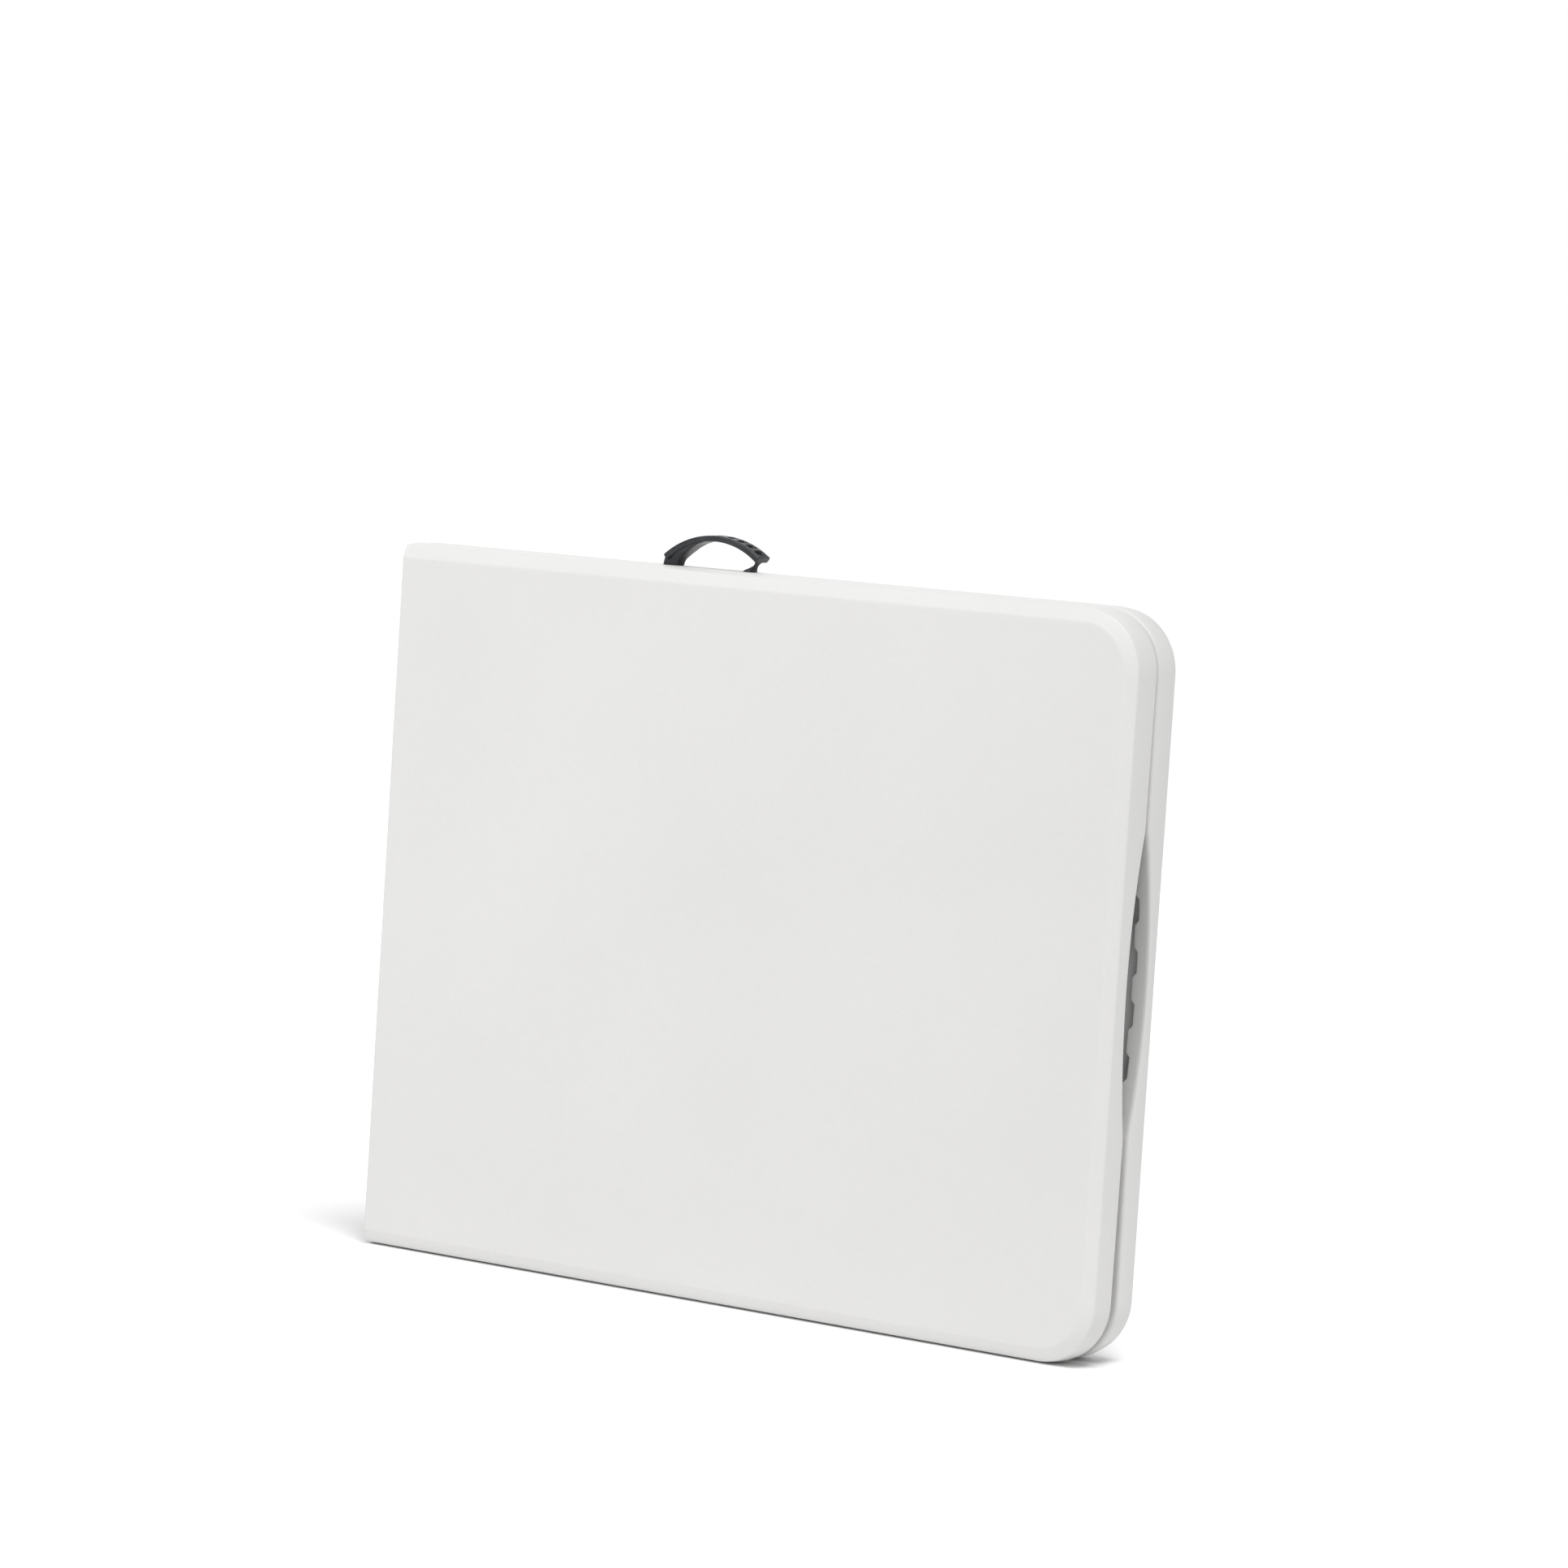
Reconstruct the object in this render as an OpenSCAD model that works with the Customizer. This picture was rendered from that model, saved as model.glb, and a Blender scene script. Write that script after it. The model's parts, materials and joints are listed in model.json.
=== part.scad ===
/* [Top] */

// length of one half of the top, hinge line to free end, mm
half_len = 915; // [760:2.5:1100]
// width of the top, mm
top_w = 760; // [630:1:915]
// thickness of one half of the top, mm
half_t = 43; // [43:0.5:52]
// thickness of the deck behind the face, mm
deck_t = 16; // [12:0.5:20]
// width of the rim around the underside, mm
rim_w = 14; // [11:0.2:20]
// plan radius of the two free corners, mm
corner_r = 65; // [45:1:90]
// inset of the face bevel, mm
bevel_w = 13; // [6:0.5:18]
// depth of the face bevel, mm
bevel_h = 6; // [3:0.5:8]
// depth of the hand scallop in each end rim, mm
scallop_h = 20; // [8:0.5:22]
// half length of the hand scallop, mm
scallop_half = 170; // [110:5:200]
// rim relief at the lower free corner of each half, mm
rim_relief = 6; // [0:0.5:8]

/* [Frame] */

// gap between the rim and the steel side rails, mm
rail_gap = 26; // [20:1:40]
// width of the steel side rails, mm
rail_w = 20; // [16:1:24]
// wall of the steel side rails, mm
rail_wall = 2; // [1.2:0.2:3]
// outside diameter of the pivot tubes, mm
pivot_d = 25; // [22:0.5:25]
// diameter of the hinge pins, mm
pin_d = 8; // [6:0.5:9]
// thickness of the hinge leaves, mm
leaf_t = 3; // [2:0.5:4]

/* [Legs] */

// leg length from its pivot to the sole, feet drawn in, mm
leg_len = 575; // [500:5:600]

// outside diameter of the leg tubes, mm
leg_d = 24; // [20:0.5:24]
// wall of the leg tubes, mm
leg_wall = 1.5; // [1:0.1:2]
// diameter of the leg crossbars, mm
bar_d = 11; // [8:0.5:11]
// travel of the telescopic feet, mm
leg_stroke = 135; // [80:5:150]
// height of the rubber foot, mm
foot_h = 30; // [20:1:40]
// diameter of the height knobs, mm
knob_d = 22; // [18:1:22]

/* [Braces] */

// distance of the brace bar from the leg pivot, mm
brace_reach = 260; // [240:5:290]

// diameter of the brace tube, mm
brace_d = 10; // [8:0.5:12]
// thickness of the flat brace link, mm
link_t = 3; // [2:0.5:4]

/* [Handle] */

// length of the carry handle, mm
handle_len = 122; // [110:1:136]
// height of the handle above the rim, mm
handle_h = 35; // [31:1:42]
// width of the handle, mm
handle_w = 22; // [18:1:22]
// thickness of the grip at its middle, mm
grip_h = 7; // [5:0.5:9]
// distance of the handle from the hinge line, mm
handle_u = 369; // [330:1:440]
// lift travel of the handle, mm
handle_lift = 9; // [4:0.5:10]

/* [Fits] */

// running clearance on the radius, mm
run_gap = 0.1; // [0.05:0.05:0.2]
// clearance of the sliding tubes on the radius, mm
tube_gap = 0.2; // [0.1:0.05:0.4]

/* [Hidden] */

$fn = 48;
half_w = top_w / 2;
seam_gap = 0.5;
relief_over = 100;
hinge_gap = 0.4;
edge_break = 2;
land_top = 20;
draft = 2;
recess_top = half_t - deck_t;
inner_r = corner_r - rim_w;
hinge_inner_r = 12;
knuckle_r = pin_d / 2 + 3;
x_hinge = (knuckle_r - half_len) / 2;

rail_out = half_w - rim_w - rail_gap;
rail_in = rail_out - rail_w;
rail_low = recess_top - 20;
rail_start = rim_w + 1.5;
rail_end = half_len - rim_w - 15;
screw_d = 4;
screw_head_d = 9;
screw_head_h = 2.4;
screw_reach = 9;
screw_count = 4;
screw_inset = 60;

pivot_u = half_len - 55;
pivot_v = recess_top - max(leg_d, pivot_d) / 2 - 1;
spigot_d = 16;
bracket_t = 12;
bracket_out = rail_in - 2;
bracket_in = bracket_out - bracket_t;
bracket_half = 15;
bracket_low = pivot_v - spigot_d / 2 - 3.4;
pivot_half = bracket_in - 0.5;

rear_lane = bracket_in - 16;
front_lane = rear_lane - 35;
tube_end = leg_len - foot_h;
slider_d = leg_d - 2 * leg_wall - 2 * tube_gap;
slider_bore = slider_d - 3;
slider_start = tube_end - 245;
stem_d = 6;
stem_at = tube_end - leg_stroke - 20;
slot_w = stem_d + 1;
knob_h = 10;
cope_gap = 0.05;
bar_v = bar_d / 2 + 1.7;
crossbar_r = stem_at - knob_d / 2 - bar_d / 2 - 14;

brace_v = recess_top - brace_d / 2 - 2;
anchor_u = 60;
anchor_half = 110;
anchor_block = 12;
fork_half = 38;
fork_in = 5;
yoke_len = 24;
yoke_h = brace_d + 2.5;
yoke_w = 24;
sleeve_d = brace_d + 3.5;
brace_u = pivot_u - brace_reach;
open_span = norm([pivot_u - (brace_v - pivot_v) - anchor_u, pivot_v - brace_reach - brace_v]);
rest_span = brace_u - anchor_u;
fork_u = rest_span / 2;
tube_len = (open_span + rest_span) / 2;
link_len = (open_span - rest_span) / 2;
link_in = brace_d / 2 + 1.5;
link_w = 10;
lug_t = 3;
link_pin_d = 5;
ring_len = 20;
ring_at = pivot_u - crossbar_r - bar_d / 2 - ring_len - 15;
ring_half = link_in + link_t + 4;
ring_wall = 1.6;
ring_gap = 0.2;

leaf_len = 90;
leaf_low = 8;
notch_v = 18;
pin_head_h = 1.5;
pin_head_d = pin_d + 4;
notch_in = rail_in - leaf_t - pin_head_h - 3;
notch_out = rail_out + leaf_t + pin_head_h + 3;

handle_v = 12;
handle_half = handle_len / 2;
tip_rise = handle_h - 21.5;
arch_sag = handle_h - tip_rise;
arch_r = (handle_half * handle_half + arch_sag * arch_sag) / (2 * arch_sag);
arch_half = asin(handle_half / arch_r);
arch_tilt = -2.6;
arch_shift = 3;
arch_steps = 24;
foot_t = 14;
left_foot_w = 16;
right_foot_w = 10;
left_strap = -handle_half + 6;
right_strap = handle_half - 18;
strap_w = 7;
strap_t = 10;
strap_gap = 0.5;
head_h = 5;
head_w = strap_w + 10;
head_top = -rim_w - 0.5 - handle_lift;

buttress_pitch = 53;
buttress_len = 27;
buttress_w = 4.5;
buttress_top = recess_top - 0.5;

plastic = [0.87, 0.87, 0.85];
steel = [0.55, 0.56, 0.58];
zinc = [0.72, 0.73, 0.74];
black = [0.08, 0.08, 0.09];

// places a half-local shape: x from the hinge line, y from the seam plane, z from mid width
module in_rear() {
  translate([x_hinge, 0, half_w])
    children();
}

module in_front() {
  translate([x_hinge, 0, half_w])
    mirror([0, 1, 0])
      children();
}

module flip(up) {
  mirror([0, 0, up ? 0 : 1])
    children();
}

module along_u(d, u0, u1) {
  translate([u0, 0, 0])
    rotate([0, 90, 0])
      cylinder(d = d, h = u1 - u0);
}

module rim_profile(from) {
  polygon([
    [from, seam_gap],
    [-edge_break, seam_gap],
    [0, edge_break + seam_gap],
    [0, land_top],
    [-draft, half_t - bevel_h],
    [-draft - bevel_w, half_t],
    [from, half_t]
  ]);
}

module free_corner() {
  translate([half_len - corner_r, 0, -(half_w - corner_r)])
    rotate([-90, 0, 0])
      rotate_extrude(angle = 90)
        translate([corner_r, 0])
          rim_profile(-corner_r);
}

module slab() {
  translate([hinge_gap, 0, 0])
    rotate([90, 0, 90])
      linear_extrude(half_len - corner_r - hinge_gap)
        polygon([
          [seam_gap, -half_w + edge_break],
          [edge_break + seam_gap, -half_w],
          [land_top, -half_w],
          [half_t - bevel_h, -half_w + draft],
          [half_t, -half_w + draft + bevel_w],
          [half_t, half_w - draft - bevel_w],
          [half_t - bevel_h, half_w - draft],
          [land_top, half_w],
          [edge_break + seam_gap, half_w],
          [seam_gap, half_w - edge_break]
        ]);
  translate([half_len, 0, -(half_w - corner_r)])
    linear_extrude(2 * (half_w - corner_r))
      rim_profile(-corner_r - 5);
  free_corner();
  flip(false)
    free_corner();
}

module recess() {
  depth = recess_top + 1;
  long = half_len - 2 * rim_w - hinge_gap;
  inside = half_w - rim_w;
  translate([rim_w + hinge_gap, -1, -inside])
    rotate([-90, 0, 0])
      mirror([0, 1, 0]) {
        translate([hinge_inner_r, 0, 0])
          cube([long - hinge_inner_r - inner_r, 2 * inside, depth]);
        translate([0, hinge_inner_r, 0])
          cube([hinge_inner_r * 2, 2 * inside - 2 * hinge_inner_r, depth]);
        translate([long - inner_r * 1.5, inner_r, 0])
          cube([inner_r * 1.5, 2 * inside - 2 * inner_r, depth]);
        for (y = [hinge_inner_r, 2 * inside - hinge_inner_r])
          translate([hinge_inner_r, y, 0])
            cylinder(r = hinge_inner_r, h = depth);
        for (y = [inner_r, 2 * inside - inner_r])
          translate([long - inner_r, y, 0])
            cylinder(r = inner_r, h = depth);
      }
}

module scallop() {
  radius = (scallop_half * scallop_half + scallop_h * scallop_h) / (2 * scallop_h);
  translate([half_len - rim_w - buttress_w - 2, scallop_h - radius, 0])
    rotate([0, 90, 0])
      cylinder(r = radius, h = rim_w + buttress_w + 10, $fn = 360);
}

module relief_cut() {
  slant = atan2(half_len, top_w);
  reach = half_len * sin(90 - slant);
  translate([0, seam_gap, -half_w])
    rotate([0, slant - 90, 0])
      translate([-relief_over, 0, 0])
        multmatrix([
          [1, 0, 0, 0],
          [0, 1, -rim_relief / reach, 0],
          [0, 0, 1, 0],
          [0, 0, 0, 1]
        ])
          translate([0, -half_t, -reach - relief_over])
            cube([half_len * 2, half_t, reach + relief_over]);
}

module end_buttresses() {
  count = floor((half_w - corner_r - buttress_len) / buttress_pitch);
  for (i = [-count:count])
    translate([half_len - rim_w - buttress_w, 1, i * buttress_pitch - buttress_len / 2])
      cube([buttress_w + 1, buttress_top, buttress_len]);
}

module hinge_notches() {
  for (up = [true, false])
    flip(up)
      translate([-1, -1, notch_in])
        cube([rim_w + hinge_gap + 2, notch_v + 1, notch_out - notch_in]);
}

module screw_places() {
  step = (rail_end - rail_start - 2 * screw_inset) / (screw_count - 1);
  for (up = [true, false])
    flip(up)
      for (i = [0:screw_count - 1])
        translate([rail_start + screw_inset + i * step, recess_top, (rail_in + rail_out) / 2])
          rotate([-90, 0, 0])
            children();
}

module panel() {
  difference() {
    slab();
    difference() {
      recess();
      end_buttresses();
    }
    scallop();
    relief_cut();
    hinge_notches();
    screw_places()
      translate([0, 0, -1])
        cylinder(d = screw_d + 2 * run_gap, h = screw_reach + 1.5);
  }
}

module rail(up) {
  flip(up)
    difference() {
      translate([rail_start, rail_low, rail_in])
        cube([rail_end - rail_start, recess_top - rail_low, rail_w]);
      translate([rail_start - 1, rail_low - 1, rail_in + rail_wall])
        cube([rail_end - rail_start + 2, recess_top - rail_low + 1 - rail_wall, rail_w - 2 * rail_wall]);
      screw_places()
        translate([0, 0, -rail_wall - 1])
          cylinder(d = screw_d + 2 * run_gap, h = rail_wall + 2);
    }
}

module screws() {
  screw_places() {
    translate([0, 0, -rail_wall])
      cylinder(d = screw_d, h = rail_wall + screw_reach);
    translate([0, 0, -rail_wall - screw_head_h])
      cylinder(d = screw_head_d, h = screw_head_h);
  }
}

module bracket(up) {
  flip(up)
    difference() {
      translate([pivot_u - bracket_half, bracket_low, bracket_in])
        cube([2 * bracket_half, recess_top - bracket_low, bracket_t]);
      translate([pivot_u, pivot_v, bracket_in - 1])
        cylinder(d = spigot_d + 2 * run_gap, h = bracket_t + 2);
    }
}

module leaf(up, z0) {
  flip(up)
    translate([0, 0, z0])
      difference() {
        union() {
          cylinder(r = knuckle_r, h = leaf_t);
          linear_extrude(leaf_t)
            polygon([
              [-knuckle_r * 0.6, knuckle_r * 0.8],
              [knuckle_r * 0.8, -knuckle_r * 0.6],
              [rail_start + 3, leaf_low],
              [leaf_len, leaf_low],
              [leaf_len, notch_v - 0.5],
              [knuckle_r, notch_v - 0.5]
            ]);
        }
        translate([0, 0, -1])
          cylinder(d = pin_d + 2 * run_gap, h = leaf_t + 2);
      }
}

module hinge_pin(up) {
  flip(up)
    translate([0, 0, rail_in - leaf_t]) {
      cylinder(d = pin_d, h = rail_w + 2 * leaf_t);
      translate([0, 0, -pin_head_h])
        cylinder(d = pin_head_d, h = pin_head_h);
      translate([0, 0, rail_w + 2 * leaf_t + run_gap])
        cylinder(d = pin_head_d, h = pin_head_h);
      cylinder(d = pin_d, h = rail_w + 2 * leaf_t + run_gap + pin_head_h);
    }
}

module anchor_brackets() {
  for (up = [true, false])
    flip(up)
      difference() {
        translate([anchor_u - 11, brace_v - 8, anchor_half - anchor_block])
          cube([22, recess_top - brace_v + 8, anchor_block]);
        translate([anchor_u, brace_v, anchor_half - anchor_block - 1])
          cylinder(d = brace_d, h = anchor_block + 2);
      }
}

module anchor_rod() {
  translate([anchor_u, brace_v, -anchor_half])
    cylinder(d = brace_d, h = 2 * anchor_half);
}

module leg_pivot() {
  translate([pivot_u, pivot_v, -pivot_half])
    cylinder(d = pivot_d, h = 2 * pivot_half);
  translate([pivot_u, pivot_v, -bracket_out + 0.5])
    cylinder(d = spigot_d, h = 2 * bracket_out - 1);
}

module leg_tube(up, lane, knob_out) {
  side = knob_out ? 1 : -1;
  flip(up)
    difference() {
      translate([0, pivot_v, lane])
        along_u(leg_d, pivot_u - tube_end, pivot_u);
      translate([0, pivot_v, lane])
        along_u(leg_d - 2 * leg_wall, pivot_u - tube_end - 1, pivot_u + 1);
      translate([pivot_u, pivot_v, lane - leg_d])
        cylinder(d = pivot_d + 2 * cope_gap, h = 2 * leg_d);
      translate([pivot_u - stem_at - leg_stroke - slot_w / 2, pivot_v - slot_w / 2, lane])
        translate([0, 0, side > 0 ? 0 : -leg_d])
          cube([leg_stroke + slot_w, slot_w, leg_d]);
    }
}

module crossbar(r, lane) {
  difference() {
    translate([pivot_u - r, bar_v, -lane])
      cylinder(d = bar_d, h = 2 * lane);
    for (z = [-lane, lane])
      translate([0, pivot_v, z])
        along_u(leg_d + 2 * cope_gap, pivot_u - r - leg_d, pivot_u - r + leg_d);
  }
}

module brace_bar(lane) {
  lug_in = link_in + link_t + 0.5;
  crossbar(brace_reach, lane);
  difference() {
    union() {
      translate([brace_u - 6, bar_v, lug_in])
        cube([12, brace_v - bar_v, lug_t]);
      translate([brace_u, brace_v, lug_in])
        cylinder(d = 12, h = lug_t);
    }
    translate([brace_u, brace_v, lug_in - 1])
      cylinder(d = link_pin_d + 2 * run_gap, h = lug_t + 2);
  }
}

module slider(up, lane, knob_out) {
  side = knob_out ? 1 : -1;
  flip(up)
    difference() {
      translate([0, pivot_v, lane])
        along_u(slider_d, pivot_u - tube_end - foot_h / 2, pivot_u - slider_start);
      translate([0, pivot_v, lane])
        along_u(slider_bore, pivot_u - tube_end - foot_h, pivot_u - slider_start + 1);
      translate([pivot_u - stem_at, pivot_v, lane])
        rotate([side > 0 ? 0 : 180, 0, 0])
          cylinder(d = stem_d + 2 * run_gap, h = leg_d);
    }
}

module foot(up, lane) {
  flip(up)
    difference() {
      translate([0, pivot_v, lane])
        along_u(leg_d, pivot_u - leg_len, pivot_u - tube_end - 0.5);
      translate([0, pivot_v, lane])
        along_u(slider_d, pivot_u - tube_end - foot_h / 2, pivot_u - tube_end);
    }
}

module knob(up, lane, knob_out) {
  flip(up)
    translate([pivot_u - stem_at, pivot_v, lane])
      rotate([knob_out ? 0 : 180, 0, 0]) {
        translate([0, 0, slider_d / 2 - 3])
          cylinder(d = stem_d, h = leg_d / 2 - slider_d / 2 + 4);
        translate([0, 0, leg_d / 2 + 0.5])
          cylinder(d = knob_d, h = knob_h);
      }
}

module between(p, q, d) {
  way = q - p;
  translate(p)
    rotate([0, acos(way[2] / norm(way)), atan2(way[1], way[0])])
      cylinder(d = d, h = norm(way));
}

module brace_tube() {
  difference() {
    union() {
      translate([0, brace_v, 0])
        along_u(brace_d, anchor_u + fork_u, anchor_u + tube_len);
      for (side = [1, -1])
        between(
          [anchor_u, brace_v, side * fork_half],
          [anchor_u + fork_u, brace_v, side * fork_in],
          brace_d - 2
        );
      translate([anchor_u + fork_u - yoke_len / 2, brace_v - yoke_h / 2, -yoke_w / 2])
        cube([yoke_len, yoke_h, yoke_w]);
      translate([anchor_u, brace_v, -fork_half - 8])
        cylinder(d = sleeve_d, h = 2 * fork_half + 16);
      translate([anchor_u + tube_len, brace_v, -link_in + 0.3])
        cylinder(d = brace_d + 2, h = 2 * link_in - 0.6);
    }
    translate([anchor_u, brace_v, -fork_half - 9])
      cylinder(d = brace_d + 2 * run_gap, h = 2 * fork_half + 18);
  }
}

module brace_link() {
  translate([brace_u, brace_v - link_w / 2, link_in])
    cube([link_len, link_w, link_t]);
  for (u = [brace_u, brace_u + link_len])
    translate([u, brace_v, link_in])
      cylinder(d = link_w, h = link_t);
  translate([brace_u, brace_v, link_in])
    cylinder(d = link_pin_d, h = link_t + 0.5 + lug_t + 1);
  translate([brace_u + link_len, brace_v, link_in])
    cylinder(d = link_pin_d + 3, h = link_t + 1.5);
}

module lock_ring() {
  inner_h = brace_d + 2 * ring_gap;
  difference() {
    translate([ring_at, brace_v - inner_h / 2 - ring_wall, -ring_half - ring_wall])
      cube([ring_len, inner_h + 2 * ring_wall, 2 * (ring_half + ring_wall)]);
    translate([ring_at - 1, brace_v - inner_h / 2, -ring_half])
      cube([ring_len + 2, inner_h, 2 * ring_half]);
  }
}

module strap_places() {
  for (at = [left_strap, right_strap])
    translate([handle_u + at, handle_v, half_w])
      children();
}

module strap_slots() {
  strap_places()
    translate([-strap_w / 2 - strap_gap, -strap_t / 2 - strap_gap, -rim_w - 1])
      cube([strap_w + 2 * strap_gap, strap_t + 2 * strap_gap, rim_w + 3]);
}

function arch_point(r, a) = [
  arch_shift + r * sin(a),
  handle_h - arch_r + r * cos(a)
];

module handle_slice(w) {
  translate([handle_u, handle_v + w / 2, half_w])
    rotate([90, 0, 0])
      linear_extrude(w)
        children();
}

module handle() {
  step = 2 * arch_half / arch_steps;
  handle_slice(handle_w)
    polygon(concat(
      [for (i = [0:arch_steps]) arch_point(arch_r, -arch_half + arch_tilt + i * step)],
      [for (i = [arch_steps:-1:0]) arch_point(arch_r - grip_h, -arch_half + arch_tilt + i * step)]
    ));
  handle_slice(foot_t)
    polygon([
      [left_strap - left_foot_w / 2, 0],
      [left_strap - left_foot_w / 2 + 4, tip_rise - 3],
      [-handle_half * 0.7, tip_rise + 5],
      [-handle_half * 0.6, tip_rise + 3],
      [left_strap + left_foot_w / 2 + 1, 5],
      [left_strap + left_foot_w / 2, 0]
    ]);
  handle_slice(foot_t)
    polygon([
      [right_strap - right_foot_w / 2, 0],
      [right_strap - right_foot_w / 2 + 3, 4],
      [handle_half - 11, 8],
      [handle_half - 8, tip_rise + 2],
      [handle_half - 2, tip_rise + 1],
      [handle_half - 7, 7],
      [right_strap + right_foot_w / 2, 2],
      [right_strap + right_foot_w / 2, 0]
    ]);
  strap_places() {
    translate([-strap_w / 2, -strap_t / 2, head_top - head_h])
      cube([strap_w, strap_t, 1 + head_h - head_top]);
    translate([-head_w / 2, -strap_t / 2 - 1, head_top - head_h])
      cube([head_w, strap_t + 2, head_h]);
  }
}

module rear_panel() {
  color(plastic)
    in_rear()
      difference() {
        panel();
        strap_slots();
      }
}

module front_panel() {
  color(plastic)
    in_front()
      panel();
}

module rear_rail_upper() {
  color(steel)
    in_rear()
      rail(true);
}

module rear_rail_lower() {
  color(steel)
    in_rear()
      rail(false);
}

module front_rail_upper() {
  color(steel)
    in_front()
      rail(true);
}

module front_rail_lower() {
  color(steel)
    in_front()
      rail(false);
}

module rear_rail_screws() {
  color(zinc)
    in_rear()
      screws();
}

module front_rail_screws() {
  color(zinc)
    in_front()
      screws();
}

module rear_bracket_upper() {
  color(black)
    in_rear()
      bracket(true);
}

module rear_bracket_lower() {
  color(black)
    in_rear()
      bracket(false);
}

module front_bracket_upper() {
  color(black)
    in_front()
      bracket(true);
}

module front_bracket_lower() {
  color(black)
    in_front()
      bracket(false);
}

module rear_leaf_upper() {
  color(zinc)
    in_rear()
      leaf(true, rail_in - leaf_t);
}

module rear_leaf_lower() {
  color(zinc)
    in_rear()
      leaf(false, rail_in - leaf_t);
}

module front_leaf_upper() {
  color(zinc)
    in_front()
      leaf(true, rail_out);
}

module front_leaf_lower() {
  color(zinc)
    in_front()
      leaf(false, rail_out);
}

module hinge_pin_upper() {
  color(zinc)
    in_rear()
      hinge_pin(true);
}

module hinge_pin_lower() {
  color(zinc)
    in_rear()
      hinge_pin(false);
}

module rear_anchor_brackets() {
  color(black)
    in_rear()
      anchor_brackets();
}

module front_anchor_brackets() {
  color(black)
    in_front()
      anchor_brackets();
}

module rear_anchor_rod() {
  color(zinc)
    in_rear()
      anchor_rod();
}

module front_anchor_rod() {
  color(zinc)
    in_front()
      anchor_rod();
}

module rear_leg_pivot() {
  color(steel)
    in_rear()
      leg_pivot();
}

module front_leg_pivot() {
  color(steel)
    in_front()
      leg_pivot();
}

module rear_leg_tube_upper() {
  color(steel)
    in_rear()
      leg_tube(true, rear_lane, true);
}

module rear_leg_tube_lower() {
  color(steel)
    in_rear()
      leg_tube(false, rear_lane, true);
}

module front_leg_tube_upper() {
  color(steel)
    in_front()
      leg_tube(true, front_lane, false);
}

module front_leg_tube_lower() {
  color(steel)
    in_front()
      leg_tube(false, front_lane, false);
}

module rear_leg_crossbar() {
  color(steel)
    in_rear()
      crossbar(crossbar_r, rear_lane);
}

module front_leg_crossbar() {
  color(steel)
    in_front()
      crossbar(crossbar_r, front_lane);
}

module rear_leg_brace_bar() {
  color(steel)
    in_rear()
      brace_bar(rear_lane);
}

module front_leg_brace_bar() {
  color(steel)
    in_front()
      brace_bar(front_lane);
}

module rear_slider_upper() {
  color(zinc)
    in_rear()
      slider(true, rear_lane, true);
}

module rear_slider_lower() {
  color(zinc)
    in_rear()
      slider(false, rear_lane, true);
}

module front_slider_upper() {
  color(zinc)
    in_front()
      slider(true, front_lane, false);
}

module front_slider_lower() {
  color(zinc)
    in_front()
      slider(false, front_lane, false);
}

module rear_foot_upper() {
  color(black)
    in_rear()
      foot(true, rear_lane);
}

module rear_foot_lower() {
  color(black)
    in_rear()
      foot(false, rear_lane);
}

module front_foot_upper() {
  color(black)
    in_front()
      foot(true, front_lane);
}

module front_foot_lower() {
  color(black)
    in_front()
      foot(false, front_lane);
}

module rear_knob_upper() {
  color(black)
    in_rear()
      knob(true, rear_lane, true);
}

module rear_knob_lower() {
  color(black)
    in_rear()
      knob(false, rear_lane, true);
}

module front_knob_upper() {
  color(black)
    in_front()
      knob(true, front_lane, false);
}

module front_knob_lower() {
  color(black)
    in_front()
      knob(false, front_lane, false);
}

module rear_brace_tube() {
  color(steel)
    in_rear()
      brace_tube();
}

module front_brace_tube() {
  color(steel)
    in_front()
      brace_tube();
}

module rear_brace_link() {
  color(zinc)
    in_rear()
      brace_link();
}

module front_brace_link() {
  color(zinc)
    in_front()
      brace_link();
}

module rear_lock_ring() {
  color(zinc)
    in_rear()
      lock_ring();
}

module front_lock_ring() {
  color(zinc)
    in_front()
      lock_ring();
}

module carry_handle() {
  color(black)
    in_rear()
      handle();
}

rear_panel();
rear_rail_upper();
rear_rail_lower();
rear_rail_screws();
rear_bracket_upper();
rear_bracket_lower();
rear_leaf_upper();
rear_leaf_lower();
hinge_pin_upper();
hinge_pin_lower();
rear_anchor_brackets();
rear_anchor_rod();
front_panel();
front_rail_upper();
front_rail_lower();
front_rail_screws();
front_bracket_upper();
front_bracket_lower();
front_leaf_upper();
front_leaf_lower();
front_anchor_brackets();
front_anchor_rod();
rear_leg_pivot();
rear_leg_tube_upper();
rear_leg_tube_lower();
rear_leg_crossbar();
rear_leg_brace_bar();
front_leg_pivot();
front_leg_tube_upper();
front_leg_tube_lower();
front_leg_crossbar();
front_leg_brace_bar();
rear_slider_upper();
rear_foot_upper();
rear_slider_lower();
rear_foot_lower();
front_slider_upper();
front_foot_upper();
front_slider_lower();
front_foot_lower();
rear_knob_upper();
rear_knob_lower();
front_knob_upper();
front_knob_lower();
rear_brace_tube();
rear_brace_link();
rear_lock_ring();
front_brace_tube();
front_brace_link();
front_lock_ring();
carry_handle();
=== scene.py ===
import json
import math

import bmesh
import bpy
import numpy as np
from mathutils import Matrix, Vector
from mathutils.geometry import delaunay_2d_cdt


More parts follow.
